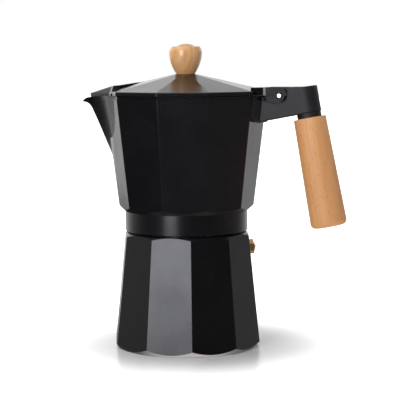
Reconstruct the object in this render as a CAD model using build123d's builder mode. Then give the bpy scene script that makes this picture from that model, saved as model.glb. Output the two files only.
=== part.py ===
from build123d import *

import os
from math import atan, cos, hypot, radians, sin, tan

os.makedirs("parts", exist_ok=True)

# Stovetop moka pot, six-cup size. Millimetres and degrees. The origin is on the pot's axis at the
# underside of the boiler, +Z is up, the handle is towards +X and the spout towards -X.

# --- Driving dimensions -------------------------------------------------------------------------
FACETS = 10
FACET_STEP = 360 / FACETS
FLAT = cos(radians(FACET_STEP / 2))  # distance to a flat over distance to a corner
EDGE_R = 0.9  # rounding of the cast corners under the paint

# Each faceted casting tapers between two (level, corner radius) points.
BOILER_LOW = (4.1, 54.0)
BOILER_HIGH = (80.9, 46.2)
BOILER_YAW = 5.74  # a corner's direction once the thread is tight
UPPER_LOW = (102.6, 48.8)
UPPER_HIGH = (181.5, 58.5)
UPPER_YAW = FACET_STEP / 2  # flats face the handle and the spout

FOOT_R = 50.6
SHOULDER_Z = 83.0
SHOULDER_R = 43.4
BOILER_WALL = 3.0
BOILER_FLOOR = 3.2
NECK_R = 36.0
NECK_BORE_R = 31.5
NECK_TOP = 92.5
THREAD_PITCH = 3.0
THREAD_DEPTH = 1.3
THREAD_TURNS = 2
THREAD_SINK = 0.3  # how far the ridge starts inside the neck
THREAD_ROOT = 0.37  # half widths of the ridge, as shares of the pitch
THREAD_CREST = 0.12

COLLAR_R = 44.2
COLLAR_BOTTOM = 83.6
COLLAR_TOP = 98.6
COLLAR_BORE_R = 37.9
SEAL_STEP_Z = 93.5
SEAL_BORE_R = 34.3

FLANGE_R = 33.7
FLANGE_T = 0.8
BASKET_R = 30.2
BASKET_FLOOR = 71.0
SHEET_T = 0.8
STEM_R = 5.6
STEM_BOTTOM = 7.0

GASKET_T = 4.0
GASKET_BORE_R = 26.5
FILTER_T = 1.0

UPPER_WALL = 2.8
UPPER_FLOOR_T = 3.2
COLUMN_R = 6.5
COLUMN_BORE_R = 4.2
COLUMN_TOP = 165.0

RIM_BAND = 1.9
LID_GAP = 0.4
LID_CORNER_R = 59.2
LID_EDGE_Z = 184.6
LID_TOP_Z = 196.6
LID_TOP_R = 8.0
LID_WALL = 2.0

ARM_HALF = 9.0
EAR_INNER = 6.0
SIDE_PLAY = 0.25
PIN_R = 1.6
PIN_X = 72.5
PIN_Z = 181.6
RECESS_R = 6.15
EAR_R = 5.75

GRIP_TOP = (92.3, 0.0, 166.0)
GRIP_LEAN = atan(0.1893)  # radians off upright, bottom outwards
GRIP_LENGTH = 77.4
VALVE_YAW = BOILER_YAW + FACET_STEP / 2
VALVE_Z = 70.9

# --- Levels worked out from them ----------------------------------------------------------------
GASKET_Z = NECK_TOP + FLANGE_T
FILTER_Z = GASKET_Z + GASKET_T
CHAMBER_UNDERSIDE = FILTER_Z + FILTER_T
CHAMBER_FLOOR = CHAMBER_UNDERSIDE + UPPER_FLOOR_T
RIM_Z = UPPER_HIGH[0]
LID_SKIRT_Z = RIM_Z + LID_GAP


# --- Shared shapes ------------------------------------------------------------------------------
def corner_at(level, low, high):
    """Corner radius of a tapering casting at any level."""
    return low[1] + (level - low[0]) * (high[1] - low[1]) / (high[0] - low[0])


def flat_at(level, low, high):
    """Distance from the axis to the middle of a flat at any level."""
    return corner_at(level, low, high) * FLAT


def decagon(level, corner, yaw):
    """A ten-sided outline at one level."""
    with BuildSketch(Plane.XY.offset(level)) as outline:
        RegularPolygon(corner, FACETS, rotation=yaw)
    return outline.sketch


def faceted(bottom, top, low, high, yaw, inset=0.0):
    """Sections of a tapering ten-sided casting, its flats moved inwards by the inset."""
    shrink = inset / FLAT
    return [decagon(z, corner_at(z, low, high) - shrink, yaw) for z in (bottom, top)]


def facet_plane(level, low, high, azimuth):
    """The plane of one flat: its origin in the middle at a level, its normal outwards."""
    flat = flat_at(level, low, high)
    rise = (low[1] - high[1]) * FLAT / (high[0] - low[0])
    across = Vector(cos(radians(azimuth)), sin(radians(azimuth)), 0)
    tangent = Vector(-across.Y, across.X, 0)
    return Plane(origin=across * flat + Vector(0, 0, level), x_dir=tangent, z_dir=across + Vector(0, 0, rise))


def dome(start, top):
    """Half of a round cap in a turned section, from its rim to its top on the axis."""
    rise = top - start[1]
    radius = (start[0] ** 2 + rise**2) / (2 * rise)
    return RadiusArc(start, (0, top), -radius)


def washer(plane, outer, inner, thickness):
    """A flat ring standing on a plane."""
    with BuildPart() as ring:
        with BuildSketch(plane):
            Circle(outer)
            Circle(inner, mode=Mode.SUBTRACT)
        extrude(amount=thickness)
    return ring


def save(piece, name):
    """Label a finished piece and write it."""
    piece.part.label = name
    export_step(piece.part, f"parts/{name}.step")


# --- Boiler -------------------------------------------------------------------------------------
OUTSIDE = 60.0  # beyond every corner of the two castings
FOOT_SLOPE = (BOILER_LOW[1] - FOOT_R) / BOILER_LOW[0]
SHOULDER_FALL = (SHOULDER_Z - BOILER_HIGH[0]) / (BOILER_HIGH[1] - SHOULDER_R)
valve_plane = facet_plane(VALVE_Z, BOILER_LOW, BOILER_HIGH, VALVE_YAW)
VALVE_SHANK_R = 3.0
HOLE_PLAY = 0.1
HAIRLINE = 0.02  # between parts that touch in use

with BuildPart() as boiler:
    loft(faceted(0, NECK_TOP, BOILER_LOW, BOILER_HIGH, BOILER_YAW), ruled=True)
    fillet(boiler.edges().filter_by(lambda edge: edge.length > NECK_TOP), EDGE_R)
    with BuildSketch(Plane.XZ):
        with BuildLine():
            Polyline(
                (0, 0),
                (FOOT_R, 0),
                (OUTSIDE, (OUTSIDE - FOOT_R) / FOOT_SLOPE),
                (OUTSIDE, BOILER_HIGH[0] - (OUTSIDE - BOILER_HIGH[1]) * SHOULDER_FALL),
                (SHOULDER_R, SHOULDER_Z),
                (NECK_R, SHOULDER_Z),
                (NECK_R, NECK_TOP - THREAD_DEPTH / 2),
                (NECK_R - THREAD_DEPTH / 2, NECK_TOP),
                (0, NECK_TOP),
                close=True,
            )
        make_face()
    revolve(axis=Axis.Z, mode=Mode.INTERSECT)
    INNER_LOW_R = flat_at(BOILER_FLOOR, BOILER_LOW, BOILER_HIGH) - BOILER_WALL
    INNER_HIGH_Z = BOILER_HIGH[0] - BOILER_WALL
    INNER_HIGH_R = flat_at(INNER_HIGH_Z, BOILER_LOW, BOILER_HIGH) - BOILER_WALL
    with BuildSketch(Plane.XZ) as hollow:
        with BuildLine():
            Polyline(
                (0, BOILER_FLOOR),
                (INNER_LOW_R, BOILER_FLOOR),
                (INNER_HIGH_R, INNER_HIGH_Z),
                (NECK_BORE_R, SHOULDER_Z - BOILER_WALL / 2),
                (NECK_BORE_R, NECK_TOP + 1),
                (0, NECK_TOP + 1),
                close=True,
            )
        make_face()
        fillet(hollow.vertices().sort_by(Axis.X)[-2:], 2 * BOILER_WALL)
    revolve(axis=Axis.Z, mode=Mode.SUBTRACT)
    with BuildSketch(valve_plane):
        Circle(VALVE_SHANK_R + HOLE_PLAY)
    extrude(amount=-3 * BOILER_WALL, mode=Mode.SUBTRACT)
    with BuildLine() as thread_path:
        Helix(THREAD_PITCH, THREAD_TURNS * THREAD_PITCH, NECK_R - HOLE_PLAY, center=(0, 0, SHOULDER_Z + 1))
    with BuildSketch(Plane(thread_path.line @ 0, x_dir=(1, 0, 0), z_dir=thread_path.line % 0)):
        with BuildLine():
            Polyline(
                (-THREAD_SINK, -THREAD_ROOT * THREAD_PITCH),
                (THREAD_DEPTH, -THREAD_CREST * THREAD_PITCH),
                (THREAD_DEPTH, THREAD_CREST * THREAD_PITCH),
                (-THREAD_SINK, THREAD_ROOT * THREAD_PITCH),
                close=True,
            )
        make_face()
    sweep(path=thread_path.line, is_frenet=True)
save(boiler, "boiler")

# --- Safety valve: everything is turned about the flat's own normal ------------------------------
HEX_FLATS = 9.3
HEX_END = 4.2
NOSE_R = 2.4
NOSE_END = 5.0
SHANK_END = -5.5
CHAMBER_END = 2.6
CHAMBER_R = 2.1
SEAT_T = 1.2
HEAD_T = 1.1
STEM_OUT = 0.6
PLUNGER_STEM_R = 1.0
RUNNING_PLAY = 0.05
VALVE_WASHER_T = 0.7
SPRING_WIRE_R = 0.22
SPRING_R = 1.5
SPRING_TURNS = 4
VALVE_TRAVEL = 1.0

valve_axis = Axis(valve_plane.origin, valve_plane.z_dir)
valve_section = Plane(
    valve_plane.origin,
    x_dir=valve_plane.x_dir,
    z_dir=valve_plane.x_dir.cross(valve_plane.z_dir),
)
HEAD_START = SHANK_END + SEAT_T + RUNNING_PLAY

valve_washer = washer(valve_plane, HEX_FLATS / 2 + EDGE_R, VALVE_SHANK_R + HOLE_PLAY, VALVE_WASHER_T)
save(valve_washer, "valve_washer")

with BuildPart() as valve_body:
    with BuildSketch(valve_plane.offset(VALVE_WASHER_T)):
        RegularPolygon(HEX_FLATS / 2, 6, major_radius=False, rotation=90)
    extrude(amount=HEX_END - VALVE_WASHER_T)
    with BuildSketch(valve_section):
        with BuildLine():
            Polyline(
                (0, 0),
                (HEX_FLATS, 0),
                (HEX_FLATS, HEX_END - HEX_FLATS / 4),
                (HEX_FLATS / 2 - 3 * HOLE_PLAY, HEX_END),
                (0, HEX_END),
                close=True,
            )
        make_face()
    revolve(axis=valve_axis, mode=Mode.INTERSECT)
    with BuildSketch(valve_section):
        with Locations((VALVE_SHANK_R / 2, (SHANK_END + HEX_END) / 2)):
            Rectangle(VALVE_SHANK_R, HEX_END - SHANK_END)
        with Locations((NOSE_R / 2, NOSE_END / 2)):
            Rectangle(NOSE_R, NOSE_END)
    revolve(axis=valve_axis)
    with BuildSketch(valve_section):
        with Locations((CHAMBER_R / 2, (SHANK_END + CHAMBER_END) / 2)):
            Rectangle(CHAMBER_R, CHAMBER_END - SHANK_END)
        with Locations(((PLUNGER_STEM_R + RUNNING_PLAY) / 2, NOSE_END / 2)):
            Rectangle(PLUNGER_STEM_R + RUNNING_PLAY, 2 * NOSE_END)
    revolve(axis=valve_axis, mode=Mode.SUBTRACT)
save(valve_body, "valve_body")

valve_seat = washer(valve_plane.offset(SHANK_END), CHAMBER_R, PLUNGER_STEM_R, SEAT_T)
save(valve_seat, "valve_seat")

with BuildPart() as valve_plunger:
    with BuildSketch(valve_section):
        with BuildLine():
            Polyline(
                (0, HEAD_START),
                (CHAMBER_R - 2 * HOLE_PLAY, HEAD_START),
                (CHAMBER_R - 2 * HOLE_PLAY, HEAD_START + HEAD_T),
                (PLUNGER_STEM_R, HEAD_START + HEAD_T),
                (PLUNGER_STEM_R, NOSE_END + STEM_OUT / 2),
            )
            dome((PLUNGER_STEM_R, NOSE_END + STEM_OUT / 2), NOSE_END + STEM_OUT)
            Line((0, NOSE_END + STEM_OUT), (0, HEAD_START))
        make_face()
    revolve(axis=valve_axis)
save(valve_plunger, "valve_plunger")

SPRING_START = HEAD_START + HEAD_T + SPRING_WIRE_R + HAIRLINE
SPRING_LENGTH = CHAMBER_END - VALVE_TRAVEL - 2 * SPRING_WIRE_R - SPRING_START
with BuildPart() as valve_spring:
    with BuildLine() as coil:
        Helix(
            SPRING_LENGTH / SPRING_TURNS,
            SPRING_LENGTH,
            SPRING_R,
            center=valve_plane.origin + valve_plane.z_dir * SPRING_START,
            direction=valve_plane.z_dir,
        )
    with BuildSketch(Plane(coil.line @ 0, z_dir=coil.line % 0)):
        Circle(SPRING_WIRE_R)
    sweep(path=coil.line, is_frenet=True)
save(valve_spring, "valve_spring")

# --- Coffee funnel, its stem and its strainer ----------------------------------------------------
CONE_BOTTOM = 60.0
LEDGE = 1.0
SLEEVE = 3.0

with BuildPart() as funnel:
    with BuildSketch(Plane.XZ):
        with BuildLine():
            Polyline(
                (FLANGE_R, NECK_TOP),
                (FLANGE_R, NECK_TOP + FLANGE_T),
                (BASKET_R - SHEET_T, NECK_TOP + FLANGE_T),
                (BASKET_R - SHEET_T, BASKET_FLOOR),
                (BASKET_R - SHEET_T - LEDGE, BASKET_FLOOR),
                (STEM_R, CONE_BOTTOM + SHEET_T),
                (STEM_R, CONE_BOTTOM - SLEEVE),
                (STEM_R + SHEET_T, CONE_BOTTOM - SLEEVE),
                (STEM_R + SHEET_T, CONE_BOTTOM),
                (BASKET_R - LEDGE, BASKET_FLOOR - 2 * SHEET_T),
                (BASKET_R, BASKET_FLOOR - SHEET_T),
                (BASKET_R, NECK_TOP),
                close=True,
            )
        make_face()
    revolve(axis=Axis.Z)
save(funnel, "funnel")

funnel_stem = washer(Plane.XY.offset(STEM_BOTTOM), STEM_R, STEM_R - SHEET_T, CONE_BOTTOM + SHEET_T - STEM_BOTTOM)
save(funnel_stem, "funnel_stem")


def perforated(outer, thickness, level, ring_pitch, hole_r):
    """A thin round plate with rings of small holes."""
    with BuildPart() as plate:
        with BuildSketch(Plane.XY.offset(level)):
            Circle(outer)
            for ring in range(1, 6):
                with PolarLocations(ring * ring_pitch, 6 * ring):
                    Circle(hole_r, mode=Mode.SUBTRACT)
            Circle(hole_r, mode=Mode.SUBTRACT)
        extrude(amount=thickness)
    return plate


funnel_strainer = perforated(BASKET_R - SHEET_T - HOLE_PLAY, SHEET_T, BASKET_FLOOR, 4.7, 0.8)
save(funnel_strainer, "funnel_strainer")

# --- Gasket and filter plate --------------------------------------------------------------------
with BuildPart() as gasket:
    with BuildSketch(Plane.XY.offset(GASKET_Z)):
        Circle(FLANGE_R - 2 * HOLE_PLAY)
        Circle(GASKET_BORE_R, mode=Mode.SUBTRACT)
    extrude(amount=GASKET_T)
    fillet(gasket.edges().filter_by(GeomType.CIRCLE), GASKET_T / 8)
save(gasket, "gasket")

filter_plate = perforated(FLANGE_R - 2 * HOLE_PLAY, FILTER_T, FILTER_Z, 4.3, 0.7)
save(filter_plate, "filter_plate")

# --- Upper chamber ------------------------------------------------------------------------------
# The beak is a broad vee in plan that widens upwards, cut to the side view's keel and pouring lip.
BEAK_BOTTOM = 117.0
BEAK_TOP = RIM_Z + 1.5
NOSE_HALF = 1.7
BEAK_WALL = 2.2
BEAK_BACK = -26.0
BEYOND_NOSE = -1.5 * OUTSIDE
KEEL_LOW = (-46.0, BEAK_BOTTOM)
KEEL_HIGH = (-72.8, 172.2)
LIP_TIP = (-80.6, 176.4)
LIP_CROWN = (-78.3, 178.8)
LIP_BACK = (-73.8, 179.9)
LIP_ROOT = (-57.0, RIM_Z)
# at each end: level, then in plan the start of one side at the nose, its bow, its end in the wall
BEAK_ENDS = (
    (BEAK_BOTTOM, (-48.4, NOSE_HALF), (-38.7, 22.1), (-29.8, 39.0)),
    (BEAK_TOP, (-77.0, NOSE_HALF), (-61.3, 18.0), (-34.2, 46.0)),
)
KEEL_LENGTH = hypot(KEEL_HIGH[0] - KEEL_LOW[0], KEEL_HIGH[1] - KEEL_LOW[1])
KEEL_ACROSS = Vector(KEEL_HIGH[1] - KEEL_LOW[1], KEEL_LOW[0] - KEEL_HIGH[0]) / KEEL_LENGTH


def beak_plan(level, nose, bow, end, wall=0.0):
    """Plan of the beak at one level, its bowed sides moved in by a wall thickness."""
    along = (Vector(*bow) - Vector(*nose)).normalized()
    inwards = Vector(along.Y, -along.X) * wall
    start, middle, back = (Vector(*point) + inwards for point in (nose, bow, end))
    half = NOSE_HALF / 2 if wall else NOSE_HALF
    start += along * ((half - start.Y) / along.Y)
    with BuildSketch(Plane.XY.offset(level)) as plan:
        with BuildLine():
            for sign in (1, -1):
                Line((BEYOND_NOSE, sign * half), (start.X, sign * half))
                Bezier((start.X, sign * half), (middle.X, sign * middle.Y), (back.X, sign * back.Y))
            Line((BEYOND_NOSE, half), (BEYOND_NOSE, -half))
            Line((back.X, back.Y), (back.X, -back.Y))
        make_face()
    return plan.sketch


with BuildPart() as beak:
    loft([beak_plan(*end) for end in BEAK_ENDS], ruled=True)
    with BuildSketch(Plane.XZ):
        with BuildLine():
            Line((BEAK_BACK, BEAK_BOTTOM), KEEL_LOW)
            keel = Line(KEEL_LOW, KEEL_HIGH)
            TangentArc(KEEL_HIGH, LIP_TIP, tangent=keel % 1)
            ThreePointArc(LIP_TIP, LIP_CROWN, LIP_BACK)
            Polyline(LIP_BACK, LIP_ROOT, (BEAK_BACK, RIM_Z), (BEAK_BACK, BEAK_BOTTOM))
        make_face()
    extrude(amount=OUTSIDE, both=True, mode=Mode.INTERSECT)

with BuildPart() as channel:
    loft([beak_plan(*end, wall=BEAK_WALL) for end in BEAK_ENDS], ruled=True)
    with BuildSketch(Plane.XZ):
        with BuildLine():
            inner_low = Vector(*KEEL_LOW) + KEEL_ACROSS * BEAK_WALL
            inner_high = Vector(*KEEL_HIGH) + KEEL_ACROSS * BEAK_WALL
            floor_line = Line(inner_low, inner_high)
            floor_arc = TangentArc(inner_high, (LIP_TIP[0], LIP_TIP[1] + BEAK_WALL / 2), tangent=floor_line % 1)
            Polyline(floor_arc @ 1, (LIP_TIP[0], BEAK_TOP), (0, BEAK_TOP), (0, inner_low.Y), inner_low)
        make_face()
    extrude(amount=OUTSIDE, both=True, mode=Mode.INTERSECT)

with BuildPart() as cavity:
    loft(faceted(CHAMBER_FLOOR, RIM_Z + 1, UPPER_LOW, UPPER_HIGH, UPPER_YAW, UPPER_WALL), ruled=True)
    fillet(cavity.edges().filter_by(lambda edge: edge.length > COLUMN_TOP / 3), UPPER_WALL)
    fillet(cavity.faces().sort_by(Axis.Z)[0].edges(), UPPER_WALL - 3 * HOLE_PLAY)

handle_plane = facet_plane(171.0, UPPER_LOW, UPPER_HIGH, 0)
BRACKET_SCREW_R = 2.5

with BuildPart() as upper_chamber:
    loft(faceted(COLLAR_TOP - 1, RIM_Z - RIM_BAND, UPPER_LOW, UPPER_HIGH, UPPER_YAW), ruled=True)
    fillet(upper_chamber.edges().filter_by(lambda edge: edge.length > COLUMN_TOP / 3), EDGE_R)
    loft(faceted(RIM_Z - RIM_BAND, RIM_Z, UPPER_LOW, UPPER_HIGH, UPPER_YAW, EDGE_R / 2), ruled=True)
    with BuildSketch(Plane.XZ):
        CONE_RISE = (UPPER_LOW[0] - COLLAR_TOP) / (UPPER_LOW[1] - COLLAR_R)
        with BuildLine():
            Polyline(
                (0, COLLAR_TOP - 1),
                (COLLAR_R, COLLAR_TOP - 1),
                (COLLAR_R, COLLAR_TOP),
                (OUTSIDE, COLLAR_TOP + (OUTSIDE - COLLAR_R) * CONE_RISE),
                (OUTSIDE, RIM_Z),
                (0, RIM_Z),
                close=True,
            )
        make_face()
    revolve(axis=Axis.Z, mode=Mode.INTERSECT)
    with BuildSketch(Plane.XZ):
        with BuildLine():
            Polyline(
                (0, COLLAR_BOTTOM),
                (COLLAR_R - 1, COLLAR_BOTTOM),
                (COLLAR_R, COLLAR_BOTTOM + 1),
                (COLLAR_R, COLLAR_TOP),
                (0, COLLAR_TOP),
                close=True,
            )
        make_face()
    revolve(axis=Axis.Z)
    add(beak.part)
    add(cavity.part, mode=Mode.SUBTRACT)
    add(channel.part, mode=Mode.SUBTRACT)
    PLENUM_R = GASKET_BORE_R - 2
    PLENUM_TOP = CHAMBER_UNDERSIDE + UPPER_FLOOR_T / 2
    with BuildSketch(Plane.XZ):
        with BuildLine():
            Polyline(
                (0, COLLAR_BOTTOM - 1),
                (COLLAR_BORE_R + 1.2, COLLAR_BOTTOM - 1),
                (COLLAR_BORE_R + 1.2, COLLAR_BOTTOM),
                (COLLAR_BORE_R, COLLAR_BOTTOM + 1.2),
                (COLLAR_BORE_R, SEAL_STEP_Z),
                (SEAL_BORE_R, SEAL_STEP_Z),
                (SEAL_BORE_R, CHAMBER_UNDERSIDE),
                (PLENUM_R, CHAMBER_UNDERSIDE),
                (PLENUM_R, PLENUM_TOP),
                (COLUMN_R, PLENUM_TOP),
                (COLUMN_R, CHAMBER_FLOOR + 1),
                (0, CHAMBER_FLOOR + 1),
                close=True,
            )
        make_face()
    revolve(axis=Axis.Z, mode=Mode.SUBTRACT)
    with BuildSketch(handle_plane):
        Circle(BRACKET_SCREW_R + HOLE_PLAY)
    extrude(amount=-3 * UPPER_WALL, mode=Mode.SUBTRACT)
save(upper_chamber, "upper_chamber")

# --- Coffee column ------------------------------------------------------------------------------
COLUMN_FOOT_R = 9.5
PORT_W = 5.0
PORT_H = 8.0
PORT_Z = 152.0

with BuildPart() as coffee_column:
    with BuildSketch(Plane.XZ):
        with BuildLine():
            Line((0, PLENUM_TOP), (COLUMN_R - HOLE_PLAY, PLENUM_TOP))
            Line((COLUMN_R - HOLE_PLAY, PLENUM_TOP), (COLUMN_R - HOLE_PLAY, CHAMBER_FLOOR))
            Line((COLUMN_R - HOLE_PLAY, CHAMBER_FLOOR), (COLUMN_FOOT_R, CHAMBER_FLOOR))
            Line((COLUMN_FOOT_R, CHAMBER_FLOOR), (COLUMN_FOOT_R, CHAMBER_FLOOR + 1))
            Line((COLUMN_FOOT_R, CHAMBER_FLOOR + 1), (COLUMN_R + 1, CHAMBER_FLOOR + 4))
            Line((COLUMN_R + 1, CHAMBER_FLOOR + 4), (COLUMN_R, COLUMN_TOP - COLUMN_R))
            dome((COLUMN_R, COLUMN_TOP - COLUMN_R), COLUMN_TOP)
            Line((0, COLUMN_TOP), (0, PLENUM_TOP))
        make_face()
    revolve(axis=Axis.Z)
    with BuildSketch(Plane.XZ):
        with Locations((COLUMN_BORE_R / 2, (PLENUM_TOP + COLUMN_TOP - 3) / 2)):
            Rectangle(COLUMN_BORE_R, COLUMN_TOP - 3 - PLENUM_TOP)
    revolve(axis=Axis.Z, mode=Mode.SUBTRACT)
    with BuildSketch(Plane.XZ):
        with Locations((0, PORT_Z)):
            SlotOverall(PORT_H, PORT_W, rotation=90)
    extrude(amount=OUTSIDE, both=True, mode=Mode.SUBTRACT)
save(coffee_column, "coffee_column")

# --- Handle bracket: one arm, a saddle on the flat, and a barrel over the grip --------------------
NECK_LENGTH = 3.45
NECK_TURNED_R = 8.5
ARM_REACH = 35.2
ARM_TOP = 187.6
ARM_TOP_END = 189.3
ARM_LEFT_TOP = (60.1, 178.2)
ARM_SINK = 1.5
POCKET_LEFT = (58.0, 178.7)
POCKET_FLOOR = (64.5, 177.0)
POCKET_LOW = (71.0, 175.65)
TONGUE_R = 10.3
SADDLE_OFF = 5.0
SADDLE_HALF = 17.0
SADDLE_LOW = -8.1
SADDLE_HIGH = 10.0
SADDLE_LIFT = 5.0
BARREL_LENGTH = 24.0
BRACKET_BOLT_DEPTH = 16.0
BOLT_R = 2.45
BOLT_HOLE_R = 2.5
BRACKET_SCREW_LENGTH = 18.0
BRACKET_WASHER_T = 1.0
BRACKET_HEAD_R = 4.6
BRACKET_HEAD_T = 2.8
SLOT_W = 1.2
GRIP_BORE_R = 2.8
GRIP_TOP_R = 11.4
GRIP_BOTTOM_R = 12.9
GRIP_TOP_ROUND = 1.2
GRIP_BOTTOM_ROUND = 3.6
GRIP_SINK_R = 6.0
GRIP_SINK = 9.0
GRIP_WASHER_T = 1.0
BOLT_HEAD_R = 4.2
BOLT_HEAD_T = 4.6
BOLT_HEX = 4.0

grip_up = Vector(-sin(GRIP_LEAN), 0, cos(GRIP_LEAN))
grip_out = Vector(cos(GRIP_LEAN), 0, sin(GRIP_LEAN))
grip_plane = Plane(GRIP_TOP, x_dir=(0, 1, 0), z_dir=grip_up)
grip_section = Plane(GRIP_TOP, x_dir=grip_out, z_dir=(0, -1, 0))
grip_axis = Axis(GRIP_TOP, grip_up)


def along_grip(height, aside):
    """Side-view point at a height over the grip's top and a distance off its axis."""
    point = Vector(GRIP_TOP) + grip_up * height + grip_out * aside
    return (point.X, point.Z)


def on_grip_axis(level):
    """Side-view point of the grip's axis at a level."""
    return (GRIP_TOP[0] - (level - GRIP_TOP[2]) * tan(GRIP_LEAN), level)


def beside_pin(radius, level):
    """Side-view point left of the pin, on a circle round it, at a level."""
    return (PIN_X - (radius**2 - (level - PIN_Z) ** 2) ** 0.5, level)


def off_middle(edge, aside):
    """Whether an edge of the arm lies off its middle plane, or out beyond the pin."""
    return abs(edge.center().Y) > aside or edge.center().X > PIN_X


def saddle_points(half, lift):
    """Outline of the saddle on its plane, its lower corners lifted towards the edges."""
    inner = ARM_HALF - HOLE_PLAY
    low = [(-inner, SADDLE_LOW), (inner, SADDLE_LOW), (half, SADDLE_LOW + lift)]
    return low + [(half, SADDLE_HIGH), (-half, SADDLE_HIGH), (-half, SADDLE_LOW + lift)]


with BuildPart() as handle_bracket:
    with BuildSketch(Plane.XZ):
        with BuildLine():
            tongue_low = beside_pin(TONGUE_R, ARM_LEFT_TOP[1])
            tongue_high = beside_pin(TONGUE_R, ARM_TOP)
            ThreePointArc(tongue_high, (PIN_X - TONGUE_R, PIN_Z), tongue_low)
            Polyline(
                tongue_low,
                (ARM_LEFT_TOP[0] - ARM_SINK, ARM_LEFT_TOP[1]),
                along_grip(NECK_LENGTH, -ARM_REACH),
                along_grip(NECK_LENGTH, ARM_HALF + 1),
                (on_grip_axis(ARM_TOP)[0] + ARM_HALF + 1, ARM_TOP_END),
            )
            top_flat = Line(tongue_high, (PIN_X + ARM_HALF, ARM_TOP))
            TangentArc(
                top_flat @ 1,
                (on_grip_axis(ARM_TOP)[0] + ARM_HALF + 1, ARM_TOP_END),
                tangent=top_flat % 1,
            )
        make_face()
    extrude(amount=ARM_HALF, both=True)
    with BuildSketch(grip_plane.offset(-BARREL_LENGTH)):
        Circle(ARM_HALF)
        with Locations((0, ARM_REACH)):
            Rectangle(2 * ARM_HALF, 2 * ARM_REACH)
    extrude(amount=3 * BARREL_LENGTH, mode=Mode.INTERSECT)
    upper_edges = handle_bracket.edges().filter_by(lambda edge: edge.center().Z > ARM_TOP - 1)
    fillet(upper_edges.filter_by(lambda edge: off_middle(edge, ARM_HALF / 2)), EDGE_R)
    lower_edges = handle_bracket.edges().filter_by(lambda edge: edge.center().Z < ARM_LEFT_TOP[1] - SADDLE_OFF)
    fillet(lower_edges.filter_by(lambda edge: off_middle(edge, ARM_HALF - 1)), EDGE_R)
    with BuildSketch(handle_plane.offset(HAIRLINE)):
        Polygon(*saddle_points(SADDLE_HALF, SADDLE_LIFT), align=None)
    with BuildSketch(handle_plane.offset(SADDLE_OFF)):
        Polygon(*saddle_points(ARM_HALF, SADDLE_LIFT / 20), align=None)
    loft(ruled=True)
    for side in (1, -1):
        with BuildSketch(Plane.XZ.offset(side * (EAR_INNER - SIDE_PLAY))):
            with Locations((PIN_X, PIN_Z)):
                Circle(RECESS_R)
            Polygon(
                POCKET_LEFT,
                POCKET_FLOOR,
                POCKET_LOW,
                (PIN_X + RECESS_R, PIN_Z),
                (PIN_X + RECESS_R, LID_TOP_Z),
                (POCKET_LEFT[0], LID_TOP_Z),
                align=None,
            )
        extrude(amount=side * ARM_HALF, mode=Mode.SUBTRACT)
    with BuildSketch(Plane.XZ):
        with Locations((PIN_X, PIN_Z)):
            Circle(PIN_R + HAIRLINE)
    extrude(amount=ARM_HALF, both=True, mode=Mode.SUBTRACT)
    with BuildSketch(grip_plane):
        Circle(NECK_TURNED_R)
    extrude(amount=NECK_LENGTH)
    with BuildSketch(grip_plane):
        Circle(BOLT_HOLE_R)
    extrude(amount=BRACKET_BOLT_DEPTH, mode=Mode.SUBTRACT)
    with BuildSketch(handle_plane):
        Circle(BRACKET_SCREW_R)
    extrude(amount=BRACKET_SCREW_LENGTH + 1, mode=Mode.SUBTRACT)
save(handle_bracket, "handle_bracket")

# --- Screw, washer and hinge pin of the bracket --------------------------------------------------
with BuildPart() as bracket_screw:
    with BuildSketch(handle_plane.offset(-UPPER_WALL - BRACKET_WASHER_T)):
        Circle(BRACKET_SCREW_R - HOLE_PLAY / 2)
    extrude(amount=BRACKET_SCREW_LENGTH)
    with BuildSketch(handle_plane.offset(-UPPER_WALL - BRACKET_WASHER_T)):
        Circle(BRACKET_HEAD_R)
    extrude(amount=-BRACKET_HEAD_T)
    fillet(bracket_screw.faces().sort_by(Axis.X)[0].edges(), BRACKET_HEAD_T / 2)
    with BuildSketch(handle_plane.offset(-UPPER_WALL - BRACKET_WASHER_T - BRACKET_HEAD_T)):
        Rectangle(SLOT_W, 2 * BRACKET_HEAD_R)
    extrude(amount=SLOT_W, mode=Mode.SUBTRACT)
save(bracket_screw, "bracket_screw")

bracket_washer = washer(
    handle_plane.offset(-UPPER_WALL - BRACKET_WASHER_T), BRACKET_HEAD_R + 1.2, BRACKET_SCREW_R, BRACKET_WASHER_T
)
save(bracket_washer, "bracket_washer")

with BuildPart() as hinge_pin:
    with BuildSketch(Plane.XZ):
        with Locations((PIN_X, PIN_Z)):
            Circle(PIN_R)
    extrude(amount=ARM_HALF, both=True)
    chamfer(hinge_pin.edges().filter_by(GeomType.CIRCLE), PIN_R / 5)
save(hinge_pin, "hinge_pin")

# --- Wooden grip and the bolt through it ---------------------------------------------------------
with BuildPart() as handle_grip:
    with BuildSketch(grip_section) as grip_half:
        Polygon(
            (GRIP_BORE_R, 0),
            (GRIP_TOP_R, 0),
            (GRIP_BOTTOM_R, -GRIP_LENGTH),
            (GRIP_SINK_R, -GRIP_LENGTH),
            (GRIP_SINK_R, GRIP_SINK - GRIP_LENGTH),
            (GRIP_BORE_R, GRIP_SINK - GRIP_LENGTH),
            align=None,
        )
        fillet(grip_half.vertices().group_by(Axis.Z)[0].sort_by(Axis.X)[-1], GRIP_BOTTOM_ROUND)
        fillet(grip_half.vertices().group_by(Axis.Z)[-1].sort_by(Axis.X)[-1], GRIP_TOP_ROUND)
    revolve(axis=grip_axis)
save(handle_grip, "handle_grip")

GRIP_LEDGE = GRIP_SINK - GRIP_LENGTH
grip_washer_plane = grip_plane.offset(GRIP_LEDGE - GRIP_WASHER_T)
grip_washer = washer(grip_washer_plane, GRIP_SINK_R - 3 * HOLE_PLAY, BOLT_HOLE_R, GRIP_WASHER_T)
save(grip_washer, "grip_washer")

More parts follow.
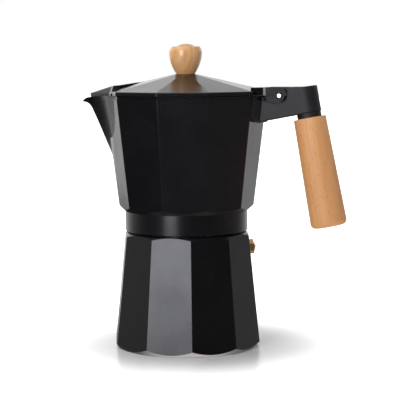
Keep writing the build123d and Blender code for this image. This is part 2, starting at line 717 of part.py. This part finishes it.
with BuildPart() as grip_bolt:
    with BuildSketch(grip_washer_plane):
        Circle(BOLT_R)
    extrude(amount=BRACKET_BOLT_DEPTH - 1 - GRIP_LEDGE + GRIP_WASHER_T)
    with BuildSketch(grip_washer_plane):
        Circle(BOLT_HEAD_R)
    extrude(amount=-BOLT_HEAD_T)
    with BuildSketch(grip_plane.offset(GRIP_LEDGE - GRIP_WASHER_T - BOLT_HEAD_T)):
        RegularPolygon(BOLT_HEX / 2, 6, major_radius=False)
    extrude(amount=BOLT_HEAD_T / 2, mode=Mode.SUBTRACT)
save(grip_bolt, "grip_bolt")

# --- Lid with its spout hood and hinge ears ------------------------------------------------------
# Plan of one half of the spout hood, from the nose round its outer corner to the middle of the lid.
HOOD_PLAN = (
    (-73.5, 1.9),
    (-46.8, 32.5),
    (-42.5, 38.4),
    (-42.5, 30.0),
    (-41.5, 23.0),
    (-38.0, 19.0),
    (-26.0, 0.0),
)
HOOD_NOSE_Z = 182.8
HOOD_RISE = 0.197
HOOD_BAND = ((-73.5, 1.9, 182.6), (-46.8, 32.5, 183.7))  # top of the upright band
HOOD_BEVEL = (1.2, -1.05, 2.7)  # from that band up on to the roof
HOOD_SKIRT = ((-56.0, LID_SKIRT_Z - 0.2), (-80.0, LID_SKIRT_Z - 2.47))
HOOD_HOLLOW_BACK = -42.0
HOOD_WALL = 1.5
BLOCK_BACK = 53.0
BLOCK_HALF = 12.5
BLOCK_TOP = 187.3
BLOCK_FRONT = 61.0
EAR_LEFT = 60.3
EAR_BAR_END = 66.0
EAR_ROUND_R = 4.1
KNOB_SCREW_R = 1.95
LID_HOLLOW = (
    (LID_EDGE_Z - LID_WALL, LID_CORNER_R - LID_WALL / FLAT),
    (LID_TOP_Z - LID_WALL, LID_TOP_R - 0.5),
)


def hood_part(back, wall=0.0):
    """The hood's outside, or the hollow that leaves a wall inside it and stays open below."""
    with BuildPart() as hood:
        with BuildSketch(Plane.XY.offset(LID_SKIRT_Z - 4)) as plan:
            Polygon(*HOOD_PLAN, *[(x, -y) for x, y in reversed(HOOD_PLAN[:-1])], align=None)
            if wall:
                offset(amount=-wall, kind=Kind.INTERSECTION, mode=Mode.REPLACE)
        extrude(amount=LID_TOP_Z - LID_SKIRT_Z)
        low = [(x, z - 4 * wall) for x, z in HOOD_SKIRT]
        with BuildSketch(Plane.XZ):
            Polygon((back, low[0][1]), *low, (low[1][0], LID_TOP_Z), (back, LID_TOP_Z), align=None)
        extrude(amount=OUTSIDE, both=True, mode=Mode.INTERSECT)
        roof_start = (HOOD_PLAN[0][0], 0, HOOD_NOSE_Z - wall)
        split(bisect_by=Plane(roof_start, z_dir=(-HOOD_RISE, 0, 1)), keep=Keep.BOTTOM)
        for sign in (1, -1):
            front, rear = (Vector(x, sign * y, z) for x, y, z in HOOD_BAND)
            bevel = Vector(HOOD_BEVEL[0], sign * HOOD_BEVEL[1], HOOD_BEVEL[2])
            upwards = (rear - front).cross(bevel) * -sign
            split(bisect_by=Plane(front - Vector(0, 0, wall), z_dir=upwards), keep=Keep.BOTTOM)
    return hood.part


with BuildPart() as lid:
    loft([decagon(LID_EDGE_Z, LID_CORNER_R, UPPER_YAW), decagon(LID_TOP_Z, LID_TOP_R, UPPER_YAW)], ruled=True)
    with BuildSketch(Plane.XY.offset(LID_SKIRT_Z)):
        RegularPolygon(LID_CORNER_R, FACETS, rotation=UPPER_YAW)
    extrude(amount=LID_EDGE_Z - LID_SKIRT_Z)
    fillet(lid.edges().filter_by(lambda edge: LID_SKIRT_Z < edge.center().Z < LID_TOP_Z - 1), EDGE_R)
    add(hood_part(HOOD_PLAN[-1][0]))
    # the hinge block spreads from the ears onto the lid
    with BuildSketch(Plane.YZ.offset(BLOCK_BACK)):
        with Locations((0, (LID_SKIRT_Z + BLOCK_TOP) / 2)):
            Rectangle(2 * BLOCK_HALF, BLOCK_TOP - LID_SKIRT_Z)
    with BuildSketch(Plane.YZ.offset(BLOCK_FRONT)):
        with Locations((0, (LID_SKIRT_Z + BLOCK_TOP) / 2)):
            Rectangle(2 * ARM_HALF, BLOCK_TOP - LID_SKIRT_Z)
    loft(ruled=True)
    loft([decagon(z, corner, UPPER_YAW) for z, corner in LID_HOLLOW], ruled=True, mode=Mode.SUBTRACT)
    with BuildSketch(Plane.XY.offset(LID_SKIRT_Z - 1)):
        RegularPolygon(LID_HOLLOW[0][1], FACETS, rotation=UPPER_YAW)
    extrude(amount=LID_HOLLOW[0][0] - LID_SKIRT_Z + 1, mode=Mode.SUBTRACT)
    add(hood_part(HOOD_HOLLOW_BACK, HOOD_WALL), mode=Mode.SUBTRACT)
    for side in (1, -1):
        with BuildSketch(Plane.XZ.offset(side * EAR_INNER)):
            with BuildLine():
                ear_top = (PIN_X + (EAR_R**2 - (BLOCK_TOP - PIN_Z) ** 2) ** 0.5, BLOCK_TOP)
                ear_middle = (PIN_X + EAR_R * cos(radians(45)), PIN_Z + EAR_R * sin(radians(45)))
                round_end = (PIN_X + EAR_ROUND_R, PIN_Z)
                round_low = (PIN_X, PIN_Z - EAR_ROUND_R)
                Polyline((EAR_BAR_END, LID_SKIRT_Z), (EAR_LEFT, LID_SKIRT_Z), (EAR_LEFT, BLOCK_TOP), ear_top)
                ThreePointArc(ear_top, ear_middle, (PIN_X + EAR_R, PIN_Z))
                Line((PIN_X + EAR_R, PIN_Z), round_end)
                RadiusArc(round_end, round_low, EAR_ROUND_R)
                Line(round_low, (EAR_BAR_END, LID_SKIRT_Z))
            make_face()
        extrude(amount=side * (ARM_HALF - EAR_INNER))
    with BuildSketch(Plane.XZ):
        with Locations((PIN_X, PIN_Z)):
            Circle(PIN_R + RUNNING_PLAY)
    extrude(amount=ARM_HALF + 1, both=True, mode=Mode.SUBTRACT)
    with BuildSketch(Plane.XY.offset(LID_TOP_Z - 2 * LID_WALL)):
        Circle(KNOB_SCREW_R + HOLE_PLAY)
    extrude(amount=3 * LID_WALL, mode=Mode.SUBTRACT)
save(lid, "lid")

# --- Wooden knob, its insert, screw and washer ---------------------------------------------------
KNOB_PROFILE = ((6.65, 0.0), (8.35, 2.9), (10.0, 6.4), (11.2, 10.0), (11.8, 15.8))
KNOB_SHOULDER = (10.2, 19.7)
KNOB_BUTTON_R = 6.8
KNOB_BUTTON_RISE = 1.9
KNOB_HEIGHT = 21.9
INSERT_R = 3.4
INSERT_BORE_R = 2.0
INSERT_LENGTH = 8.0
KNOB_BORE_DEPTH = 12.0
KNOB_WASHER_T = 0.8
KNOB_SCREW_HEAD_R = 3.8
KNOB_SCREW_HEAD_T = 2.4
LID_INNER_TOP = LID_HOLLOW[1][0]

with BuildPart() as lid_knob:
    with BuildSketch(Plane.XZ.shift_origin((0, 0, LID_TOP_Z))):
        with BuildLine():
            side = Spline(*KNOB_PROFILE)
            TangentArc(KNOB_PROFILE[-1], KNOB_SHOULDER, tangent=side % 1)
            Line(KNOB_SHOULDER, (KNOB_BUTTON_R, KNOB_HEIGHT - KNOB_BUTTON_RISE))
            dome((KNOB_BUTTON_R, KNOB_HEIGHT - KNOB_BUTTON_RISE), KNOB_HEIGHT)
            Polyline((0, KNOB_HEIGHT), (0, 0), KNOB_PROFILE[0])
        make_face()
    revolve(axis=Axis.Z)
    with BuildSketch(Plane.XY.offset(LID_TOP_Z)):
        Circle(INSERT_R)
    extrude(amount=INSERT_LENGTH, mode=Mode.SUBTRACT)
    with BuildSketch(Plane.XY.offset(LID_TOP_Z)):
        Circle(INSERT_BORE_R + HOLE_PLAY)
    extrude(amount=KNOB_BORE_DEPTH, mode=Mode.SUBTRACT)
save(lid_knob, "lid_knob")

insert_plane = Plane.XY.offset(LID_TOP_Z + HOLE_PLAY)
knob_insert = washer(insert_plane, INSERT_R - HAIRLINE, INSERT_BORE_R, INSERT_LENGTH - 2 * HOLE_PLAY)
save(knob_insert, "knob_insert")

KNOB_HEAD_Z = LID_INNER_TOP - KNOB_WASHER_T
knob_washer = washer(Plane.XY.offset(KNOB_HEAD_Z), KNOB_SCREW_HEAD_R + 0.8, INSERT_BORE_R, KNOB_WASHER_T)
save(knob_washer, "knob_washer")

with BuildPart() as knob_screw:
    with BuildSketch(Plane.XY.offset(KNOB_HEAD_Z)):
        Circle(KNOB_SCREW_R)
    extrude(amount=LID_TOP_Z + INSERT_LENGTH + 2 - KNOB_HEAD_Z)
    with BuildSketch(Plane.XY.offset(KNOB_HEAD_Z)):
        Circle(KNOB_SCREW_HEAD_R)
    extrude(amount=-KNOB_SCREW_HEAD_T)
    fillet(knob_screw.faces().sort_by(Axis.Z)[0].edges(), KNOB_SCREW_HEAD_T / 2)
    with BuildSketch(Plane.XY.offset(KNOB_HEAD_Z - KNOB_SCREW_HEAD_T)):
        Rectangle(SLOT_W, 2 * KNOB_SCREW_HEAD_R)
    extrude(amount=SLOT_W, mode=Mode.SUBTRACT)
save(knob_screw, "knob_screw")
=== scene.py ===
"""The looks of a stovetop moka pot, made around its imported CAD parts.

Metres, in the row frame: the origin is on the pot's axis at the underside of the boiler, +Z is up, the
handle is towards +X and the spout towards -X.
"""

import math

import bpy
from mathutils import Matrix, Vector

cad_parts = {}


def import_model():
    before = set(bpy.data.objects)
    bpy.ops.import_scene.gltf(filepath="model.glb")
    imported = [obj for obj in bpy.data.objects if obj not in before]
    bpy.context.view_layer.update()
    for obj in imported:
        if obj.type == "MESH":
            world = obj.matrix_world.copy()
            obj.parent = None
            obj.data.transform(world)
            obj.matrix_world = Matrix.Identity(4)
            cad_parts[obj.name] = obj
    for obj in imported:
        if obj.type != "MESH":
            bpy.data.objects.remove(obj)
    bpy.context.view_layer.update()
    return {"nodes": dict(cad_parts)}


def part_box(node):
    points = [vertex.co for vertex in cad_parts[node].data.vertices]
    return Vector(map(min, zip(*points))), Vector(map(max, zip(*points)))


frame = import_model()
NODES = frame["nodes"]
SCENE = bpy.context.scene

# --- Camera ---------------------------------------------------------------------------------------
CAMERA_PLACE = Vector((0.36744, -1.01125, 0.21080))
CAMERA_AIM = Vector((-0.33131, 0.93849, -0.09734)).normalized()
CAMERA_ROLL = 0.00552  # radians clockwise, seen from behind it
CAMERA_LENS = 134.22  # millimetres on a 36 mm sensor


def camera():
    """A long lens a metre away, a little above the lid."""
    level = CAMERA_AIM.cross(Vector((0, 0, 1))).normalized()
    upright = level.cross(CAMERA_AIM)
    right = level * math.cos(CAMERA_ROLL) - upright * math.sin(CAMERA_ROLL)
    up = upright * math.cos(CAMERA_ROLL) + level * math.sin(CAMERA_ROLL)
    data = bpy.data.cameras.new("camera")
    data.lens = CAMERA_LENS
    data.sensor_width = 36.0
    data.clip_start, data.clip_end = 0.05, 100.0
    data.dof.use_dof = False
    obj = bpy.data.objects.new("camera", data)
    turn = Matrix((right, up, -CAMERA_AIM)).transposed()
    obj.matrix_world = Matrix.Translation(CAMERA_PLACE) @ turn.to_4x4()
    SCENE.collection.objects.link(obj)
    SCENE.camera = obj


camera()
SCENE.view_settings.view_transform = "Standard"
SCENE.view_settings.look = "None"

# Directions round the pot are given from the side the camera is on, positive to its right.
FRONT = Vector((-CAMERA_AIM.x, -CAMERA_AIM.y, 0)).normalized()
RIGHT = Vector((-FRONT.y, FRONT.x, 0))


def towards(azimuth, elevation=0.0):
    """The direction at an azimuth and elevation in degrees."""
    a, e = math.radians(azimuth), math.radians(elevation)
    return (FRONT * math.cos(a) + RIGHT * math.sin(a)) * math.cos(e) + Vector((0, 0, math.sin(e)))


# --- Node trees -----------------------------------------------------------------------------------
class Graph:
    """A node tree and short calls for the nodes that are used here."""

    def __init__(self, tree):
        self.tree = tree

    def node(self, kind, inputs=None, **props):
        made = self.tree.nodes.new(kind)
        for key, value in props.items():
            setattr(made, key, value)
        for key, value in (inputs or {}).items():
            self.put(made.inputs[key], value)
        return made

    def put(self, socket, value):
        if isinstance(value, bpy.types.NodeSocket):
            self.tree.links.new(value, socket)
        elif socket.type == "RGBA":
            socket.default_value = (*value, 1.0)
        else:
            socket.default_value = value

    def math(self, operation, a, b=0.0, c=0.0):
        return self.node("ShaderNodeMath", {0: a, 1: b, 2: c}, operation=operation).outputs[0]

    def times(self, a, b):
        return self.math("MULTIPLY", a, b)

    def length(self, x, y):
        return self.math("SQRT", self.math("ADD", self.times(x, x), self.times(y, y)))

    def most(self, *numbers):
        """The largest of some numbers."""
        largest = numbers[0]
        for number in numbers[1:]:
            largest = self.math("MAXIMUM", largest, number)
        return largest

    def dot(self, vector, direction):
        made = self.node("ShaderNodeVectorMath", {0: vector, 1: tuple(direction)}, operation="DOT_PRODUCT")
        return made.outputs["Value"]

    def split(self, vector):
        made = self.node("ShaderNodeSeparateXYZ", {0: vector})
        return made.outputs[0], made.outputs[1], made.outputs[2]

    def join(self, x, y, z):
        return self.node("ShaderNodeCombineXYZ", {0: x, 1: y, 2: z}).outputs[0]

    def between(self, value, start, end, first=0.0, last=1.0):
        """First at the start and last at the end, with a smooth step in the middle."""
        made = self.node(
            "ShaderNodeMapRange",
            {"Value": value, "From Min": start, "From Max": end, "To Min": first, "To Max": last},
            interpolation_type="SMOOTHSTEP",
        )
        return made.outputs["Result"]

    def noise(self, vector, scale, detail=3.0, roughness=0.5):
        inputs = {"Vector": vector, "Scale": scale, "Detail": detail, "Roughness": roughness}
        return self.node("ShaderNodeTexNoise", inputs).outputs["Fac"]

    def scaled(self, vector, factors, rotation=(0, 0, 0)):
        made = self.node("ShaderNodeMapping", {"Vector": vector, "Rotation": rotation, "Scale": factors})
        return made.outputs["Vector"]

    def mix(self, share, a, b):
        """Colour b over colour a by share."""
        made = self.tree.nodes.new("ShaderNodeMix")
        made.data_type = "RGBA"
        self.put(made.inputs[0], share)
        self.put(made.inputs[6], a)
        self.put(made.inputs[7], b)
        return made.outputs[2]

    def blend(self, share, a, b):
        """Number b over number a by share."""
        return self.node("ShaderNodeMix", {0: share, 2: a, 3: b}).outputs[0]

    def ramp(self, value, stops):
        """The number that straight lines between the stops give at value."""
        made = self.node("ShaderNodeValToRGB", {0: value})
        elements = made.color_ramp.elements
        while len(elements) < len(stops):
            elements.new(1.0)
        for element, (place, number) in zip(elements, stops):
            element.position = place
            element.color = (number, number, number, 1.0)
        return self.node("ShaderNodeSeparateColor", {0: made.outputs[0]}).outputs[0]

    def bump(self, height, strength, distance):
        inputs = {"Height": height, "Strength": strength, "Distance": distance}
        return self.node("ShaderNodeBump", inputs).outputs["Normal"]


class Surface(Graph):
    """A material of one Principled shader."""

    def __init__(self, name, **fixed):
        self.material = bpy.data.materials.new(name)
        self.material.use_nodes = True
        super().__init__(self.material.node_tree)
        self.shader = self.tree.nodes["Principled BSDF"]
        for key, value in fixed.items():
            self.set(key.replace("_", " "), value)
        place = self.node("ShaderNodeTexCoord")
        self.place = place.outputs["Object"]
        self.normal = place.outputs["Normal"]

    def set(self, key, value):
        self.put(self.shader.inputs[key], value)

    def dress(self, *nodes):
        for name in nodes:
            slots = NODES[name].data.materials
            slots.clear()
            slots.append(self.material)


# --- Paint on the castings --------------------------------------------------------------------------
PAINT = (0.0022, 0.0019, 0.0025)
BARE = (0.70, 0.66, 0.66)
BARE_DARK = (0.46, 0.42, 0.41)
COARSE_ROUGHNESS = 0.62
SMOOTH_ROUGHNESS = 0.10
TOOL_MARKS = 2600.0  # a metre, along the radius and the axis

# Where the paint stops: pairs of places, in metres, or of slopes, from painted to bare.
FACES_DOWN = (-0.20, -0.40)
FACES_UP = (0.3, 0.6)
FACES_INWARD = (-0.10, -0.30)
BOILER_FLOOR = (0.020, 0.010)
CHAMBER_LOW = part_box("upper_chamber")[0].z
NECK_FROM = (CHAMBER_LOW - 0.0010, CHAMBER_LOW - 0.0007)
NECK_WITHIN = (0.0398, 0.0392)
CHAMBER_WITHIN = (0.062, 0.058)
CHAMBER_FLOOR = (0.112, 0.108)
CHAMBER_FLOOR_WITHIN = (0.0430, 0.0425)
SEAT_SLOPE = (-0.3, -0.6)
SEAT_WITHIN = (0.0390, 0.0385)
SEAT_BELOW = (0.1012, 0.1008)
LID_SLOPE = (-0.15, -0.35)
LID_WITHIN = (0.0560, 0.0552)

# Where the paint's surface changes, by x, from the ordinary paint on.
BEAK_FROM = (-0.0460, -0.0490)
HOOD_FROM = (-0.0440, -0.0455)
HINGE_FROM = (0.0625, 0.0629)


def casting(name, node, bare_of, gloss, coarse=(), smooth=()):
    """Satin black paint, coarse or smooth past each given x, and bare aluminium where bare_of says."""
    s = Surface(name, Specular_IOR_Level=0.5)
    x, y, z = s.split(s.place)
    nx, ny, nz = s.split(s.normal)
    radius = s.length(x, y)
    outward = s.math("DIVIDE", s.math("ADD", s.times(x, nx), s.times(y, ny)), radius)
    bare = bare_of(s, radius, z, outward, nz)
    cloud = s.noise(s.place, 38.0, 4.0, 0.55)
    peel = s.noise(s.place, 950.0, 2.0, 0.5)
    grit = s.noise(s.place, 3200.0, 2.0, 0.6)
    paint = s.mix(s.between(cloud, 0.35, 0.75), PAINT, tuple(c * 1.25 for c in PAINT))
    rings = s.noise(s.join(s.times(radius, TOOL_MARKS), 0.0, s.times(z, TOOL_MARKS)), 1.0, 2.0, 0.6)
    s.set("Base Color", s.mix(bare, paint, s.mix(s.between(rings, 0.3, 0.7), BARE_DARK, BARE)))
    s.set("Metallic", bare)
    roughness = s.between(cloud, 0.3, 0.7, gloss, gloss + 0.05)
    for reach in smooth:
        roughness = s.blend(s.between(x, *reach), roughness, SMOOTH_ROUGHNESS)
    textured = s.most(0.0, *(s.between(x, *reach) for reach in coarse))
    roughness = s.blend(textured, roughness, COARSE_ROUGHNESS)
    s.set("Roughness", s.blend(bare, roughness, s.blend(rings, 0.28, 0.46)))
    height = s.blend(bare, s.math("ADD", peel, s.times(grit, 0.35)), rings)
    height = s.blend(textured, height, s.noise(s.place, 2100.0, 3.0, 0.65))
    strength = s.blend(textured, s.blend(bare, 0.03, 0.25), 0.35)
    s.set("Normal", s.bump(height, strength, 0.0001))
    s.dress(node)


def boiler_bare(s, radius, z, outward, nz):
    """The turned foot and underside, everything inside, and the threaded neck."""
    foot = s.between(nz, *FACES_DOWN)
    inside = s.between(outward, *FACES_INWARD)
    bottom = s.times(s.between(z, *BOILER_FLOOR), s.between(nz, *FACES_UP))
    neck = s.times(s.between(z, *NECK_FROM), s.between(radius, *NECK_WITHIN))
    return s.most(foot, inside, bottom, neck)


def chamber_bare(s, radius, z, outward, nz):
    """The inside, its floor, and the machined seat under the collar."""
    inside = s.times(s.between(outward, *FACES_INWARD), s.between(radius, *CHAMBER_WITHIN))
    floor = s.times(s.between(z, *CHAMBER_FLOOR), s.between(nz, *FACES_UP))
    floor = s.times(floor, s.between(radius, *CHAMBER_FLOOR_WITHIN))
    seat = s.times(s.between(nz, *SEAT_SLOPE), s.between(radius, *SEAT_WITHIN))
    seat = s.times(seat, s.between(z, *SEAT_BELOW))
    return s.most(inside, floor, seat)


def lid_bare(s, radius, z, outward, nz):
    """The cast underside."""
    return s.times(s.between(nz, *LID_SLOPE), s.between(radius, *LID_WITHIN))


casting("paint_boiler", "boiler", boiler_bare, 0.24)
casting("paint_chamber", "upper_chamber", chamber_bare, 0.24, smooth=[BEAK_FROM])
casting("paint_lid", "lid", lid_bare, 0.19, coarse=[HINGE_FROM, HOOD_FROM])


# --- Moulded plastic bracket ------------------------------------------------------------------------
def plastic():
    """Matte black plastic with a fine moulded grain."""
    s = Surface("bracket_plastic", Specular_IOR_Level=0.5)
    grain = s.noise(s.place, 2100.0, 3.0, 0.65)
    broad = s.noise(s.place, 120.0, 3.0, 0.5)
    s.set("Base Color", s.mix(s.between(broad, 0.3, 0.7), (0.0045, 0.004, 0.0055), (0.007, 0.006, 0.008)))
    s.set("Roughness", s.blend(grain, 0.42, 0.64))
    s.set("Normal", s.bump(grain, 0.55, 0.00020))
    s.dress("handle_bracket")


plastic()

# --- Beech ------------------------------------------------------------------------------------------
BEECH_PALE = (0.650, 0.345, 0.145)
BEECH_MID = (0.565, 0.275, 0.100)
BEECH_DEEP = (0.440, 0.185, 0.058)
BEECH_FLECK = (0.300, 0.110, 0.030)


def beech(name, node, lean, roughness, coat, turn, tint):
    """Steamed beech, its grain along the turned axis: soft bands, fine streaks and short dark flecks."""
    s = Surface(name, Specular_IOR_Level=0.4, Coat_Weight=coat, Coat_Roughness=0.12)
    shades = (BEECH_PALE, BEECH_MID, BEECH_DEEP, BEECH_FLECK)
    pale, mid, deep, fleck_dark = (tuple(a * b for a, b in zip(shade, tint)) for shade in shades)
    along = s.scaled(s.place, (1.0, 1.0, 1.0), (0.0, lean, 0.0))
    turned = s.scaled(along, (1.0, 1.0, 1.0), (0.0, 0.0, turn))
    waver = s.noise(s.scaled(turned, (1.0, 1.0, 0.35)), 60.0, 2.0, 0.5)
    x, y, z = s.split(turned)
    across = s.math("ADD", x, s.times(waver, 0.0045))
    bands = s.noise(s.join(s.times(across, 420.0), s.times(y, 30.0), s.times(z, 9.0)), 1.0, 3.0, 0.55)
    streaks = s.noise(s.scaled(turned, (2400.0, 2400.0, 60.0)), 1.0, 3.0, 0.6)
    fleck_place = s.scaled(turned, (820.0, 1500.0, 210.0))
    cells = {"Vector": fleck_place, "Scale": 1.0, "Randomness": 1.0}
    cells = s.node("ShaderNodeTexVoronoi", cells, feature="F1")
    fleck = s.between(cells.outputs["Distance"], 0.30, 0.16)
    chosen = s.between(s.split(cells.outputs["Color"])[0], 0.52, 0.60)
    fleck = s.times(fleck, chosen)
    broad = s.noise(s.scaled(turned, (45.0, 45.0, 12.0)), 1.0, 2.0, 0.5)
    colour = s.mix(s.between(bands, 0.30, 0.68), pale, mid)
    colour = s.mix(s.times(s.between(broad, 0.45, 0.8), 0.45), colour, deep)
    colour = s.mix(s.times(s.between(streaks, 0.50, 0.80), 0.40), colour, deep)
    colour = s.mix(s.times(fleck, 0.62), colour, fleck_dark)
    s.set("Base Color", colour)
    s.set("Roughness", s.blend(streaks, roughness - 0.05, roughness + 0.08))
    height = s.math("SUBTRACT", s.times(streaks, 0.5), s.times(fleck, 0.8))
    s.set("Normal", s.bump(height, 0.18, 0.00012))
    s.dress(node)


GRIP_SLOPE = 0.1893  # outwards, for each metre down
GRIP_LEAN = math.atan(GRIP_SLOPE)
beech("beech_grip", "handle_grip", GRIP_LEAN, 0.46, 0.0, 0.6, (0.82, 0.79, 0.80))
beech("beech_knob", "lid_knob", 0.0, 0.26, 0.5, 1.9, (1.0, 1.08, 1.16))


# --- Metals and silicone ----------------------------------------------------------------------------
def metal(name, nodes, pale, dark, rough_low, rough_high, marks_each_way=(900.0, 900.0, 900.0)):
    """Worked metal: its colour and roughness vary along fine tool marks."""
    s = Surface(name, Metallic=1.0)
    marks = s.noise(s.scaled(s.place, marks_each_way), 1.0, 3.0, 0.6)
    cloud = s.noise(s.place, 150.0, 3.0, 0.5)
    s.set("Base Color", s.mix(s.between(s.blend(0.5, marks, cloud), 0.3, 0.7), dark, pale))
    s.set("Roughness", s.blend(marks, rough_low, rough_high))
    s.set("Normal", s.bump(marks, 0.12, 0.00006))
    s.dress(*nodes)


metal(
    "turned_brass", ["valve_body", "valve_seat", "valve_plunger", "knob_insert"],
    (0.95, 0.66, 0.33), (0.74, 0.48, 0.21), 0.34, 0.52,
)
metal("copper", ["valve_washer"], (0.80, 0.42, 0.28), (0.58, 0.27, 0.17), 0.25, 0.42)
metal(
    "bright_steel", ["hinge_pin", "bracket_screw", "grip_bolt", "knob_screw", "valve_spring"],
    (0.74, 0.73, 0.72), (0.58, 0.57, 0.56), 0.18, 0.34,
)
metal(
    "zinc_washers", ["bracket_washer", "grip_washer", "knob_washer"],
    (0.66, 0.66, 0.65), (0.50, 0.50, 0.49), 0.28, 0.44,
)
metal(
    "spun_aluminium", ["funnel", "funnel_stem", "funnel_strainer", "filter_plate", "coffee_column"],
    (0.80, 0.80, 0.80), (0.64, 0.64, 0.65), 0.28, 0.44, (260.0, 260.0, 2600.0),
)


def silicone():
    """A pale, slightly dusty seal."""
    s = Surface("silicone", Specular_IOR_Level=0.5, Subsurface_Weight=0.12, Subsurface_Scale=0.002)
    s.set("Subsurface Radius", (0.6, 0.5, 0.4))
    cloud = s.noise(s.place, 160.0, 3.0, 0.5)
    fine = s.noise(s.place, 2400.0, 2.0, 0.6)
    s.set("Base Color", s.mix(s.between(cloud, 0.3, 0.7), (0.66, 0.65, 0.60), (0.74, 0.73, 0.69)))
    s.set("Roughness", s.blend(fine, 0.48, 0.62))
    s.set("Normal", s.bump(fine, 0.08, 0.0001))
    s.dress("gasket")


silicone()


# --- Studio -------------------------------------------------------------------------------------------
FLOOR_HALF = 6.0
FLOOR_DROP = 0.00002
# Painted light: the floor glows white outside a painted shadow round the pot, whose middle leans to the
# camera's right.
FLOOR_PAINTED_GLOW = (0.052, 0.150)  # from the shadow's middle, where the sheet starts and ends turning pure white
PAINTED_SHADOW_LEAN = 0.006  # of that middle to the camera's right


def floor():
    """A pale floor, one sheet. It glows pure white away from the pot as painted light. The unlit patch round
    the pot, its middle leaning right, is painted shadow laid over the rendered one.
    """
    mesh = bpy.data.meshes.new("floor")
    corners = [(-1, -1), (1, -1), (1, 1), (-1, 1)]
    mesh.from_pydata([(x * FLOOR_HALF, y * FLOOR_HALF, -FLOOR_DROP) for x, y in corners], [], [(0, 1, 2, 3)])
    obj = bpy.data.objects.new("floor", mesh)
    SCENE.collection.objects.link(obj)
    material = bpy.data.materials.new("floor_pale_painted_glow")
    material.use_nodes = True
    g = Graph(material.node_tree)
    shader = g.tree.nodes["Principled BSDF"]
    x, y, _ = g.split(g.node("ShaderNodeTexCoord").outputs["Object"])
    # The middle of the painted shadow, leaned to the camera's right.
    middle = RIGHT * PAINTED_SHADOW_LEAN
    away = g.length(g.math("SUBTRACT", x, middle.x), g.math("SUBTRACT", y, middle.y))
    cloud = g.noise(g.join(x, y, 0.0), 30.0, 3.0, 0.5)
    g.put(shader.inputs["Base Color"], g.mix(cloud, (0.65, 0.65, 0.65), (0.67, 0.67, 0.67)))
    g.put(shader.inputs["Roughness"], 0.28)
    g.put(shader.inputs["Emission Color"], (1.0, 1.0, 1.0))
    # Painted light and painted shadow: the glow rises with distance from the painted shadow's middle.
    g.put(shader.inputs["Emission Strength"], g.between(away, *FLOOR_PAINTED_GLOW))
    mesh.materials.append(material)
    obj.visible_glossy = False


floor()

# The brightness of what the glossy paint sees. On the horizon it goes by azimuth from the camera's side.
HORIZON = [
    (-180, 1.10), (-150, 1.20), (-128, 0.74), (-102, 0.34), (-78, 0.14), (-45, 0.09), (0, 0.09),
    (44, 0.06), (71, 0.16), (117, 0.25), (144, 0.80), (160, 0.90), (180, 1.05),
]
# Left and right of each band above the horizon.
OVERHEAD = (1.10, 0.50)
BACK_LOW = (1.75, 1.00)
BACK_HIGH = (1.15, 0.62)
LOWER = 0.17
LOWER_LEFT = 0.03
BELOW = 0.85
# The heights, on a ball of radius 1, between which each band comes in.
OVERHEAD_HEIGHTS = (0.35, 0.80)
BACK_HEIGHTS = (0.05, 0.22)
BACK_HIGH_HEIGHTS = (0.28, 0.46)
LOWER_HEIGHTS = (-0.20, -0.40)
LOWER_LEFT_HEIGHTS = (-0.145, -0.165)
BELOW_HEIGHTS = (-0.78, -0.90)


def world():
    """A studio dark behind the camera and white behind the pot and overhead; the camera sees plain white."""
    made = bpy.data.worlds.new("studio")
    SCENE.world = made
    made.use_nodes = True
    g = Graph(made.node_tree)
    direction = g.node("ShaderNodeTexCoord").outputs["Generated"]
    ahead = g.dot(direction, FRONT)
    side = g.dot(direction, RIGHT)
    height = g.split(direction)[2]
    turn = g.math("MULTIPLY_ADD", g.math("ARCTAN2", side, ahead), 1 / (2 * math.pi), 0.5)
    level = g.ramp(turn, [((azimuth + 180) / 360, number) for azimuth, number in HORIZON])
    behind = g.times(g.between(ahead, -0.2, -0.7), g.between(height, *BACK_HEIGHTS))
    low, high = (g.between(side, -0.3, 0.3, *numbers) for numbers in (BACK_LOW, BACK_HIGH))
    level = g.blend(behind, level, g.blend(g.between(height, *BACK_HIGH_HEIGHTS), low, high))
    level = g.blend(g.between(height, *OVERHEAD_HEIGHTS), level, g.between(side, -0.6, 0.6, *OVERHEAD))
    level = g.blend(g.between(height, *LOWER_HEIGHTS), level, LOWER)
    lower_left = g.times(g.between(height, *LOWER_LEFT_HEIGHTS), g.between(side, 0.0, -0.1))
    level = g.blend(lower_left, level, LOWER_LEFT)
    level = g.blend(g.between(height, *BELOW_HEIGHTS), level, BELOW)
    background = g.tree.nodes["Background"]
    seen = g.node("ShaderNodeLightPath").outputs["Is Camera Ray"]
    g.put(background.inputs["Color"], (1.0, 1.0, 1.0))
    g.put(background.inputs["Strength"], g.blend(seen, level, 1.0))


world()


PANEL_AIM = Vector((0, 0, 0.1))


def panel(name, azimuth, elevation, distance, width, height, radiance, colour=(1, 1, 1)):
    """A softbox that faces the pot."""
    data = bpy.data.lights.new(name, "AREA")
    data.shape = "RECTANGLE"
    data.size, data.size_y = width, height
    data.energy = radiance * math.pi * width * height
    data.color = colour
    obj = bpy.data.objects.new(name, data)
    away = towards(azimuth, elevation) * distance
    obj.matrix_world = Matrix.Translation(PANEL_AIM + away) @ away.to_track_quat("Z", "Y").to_matrix().to_4x4()
    SCENE.collection.objects.link(obj)


panel(
    "key_softbox", azimuth=-29, elevation=14, distance=1.3, width=0.50, height=0.90, radiance=7.3,
    colour=(0.92, 0.93, 1.0),
)
panel("top_softbox", azimuth=-50, elevation=66, distance=1.6, width=1.2, height=1.2, radiance=1.4)
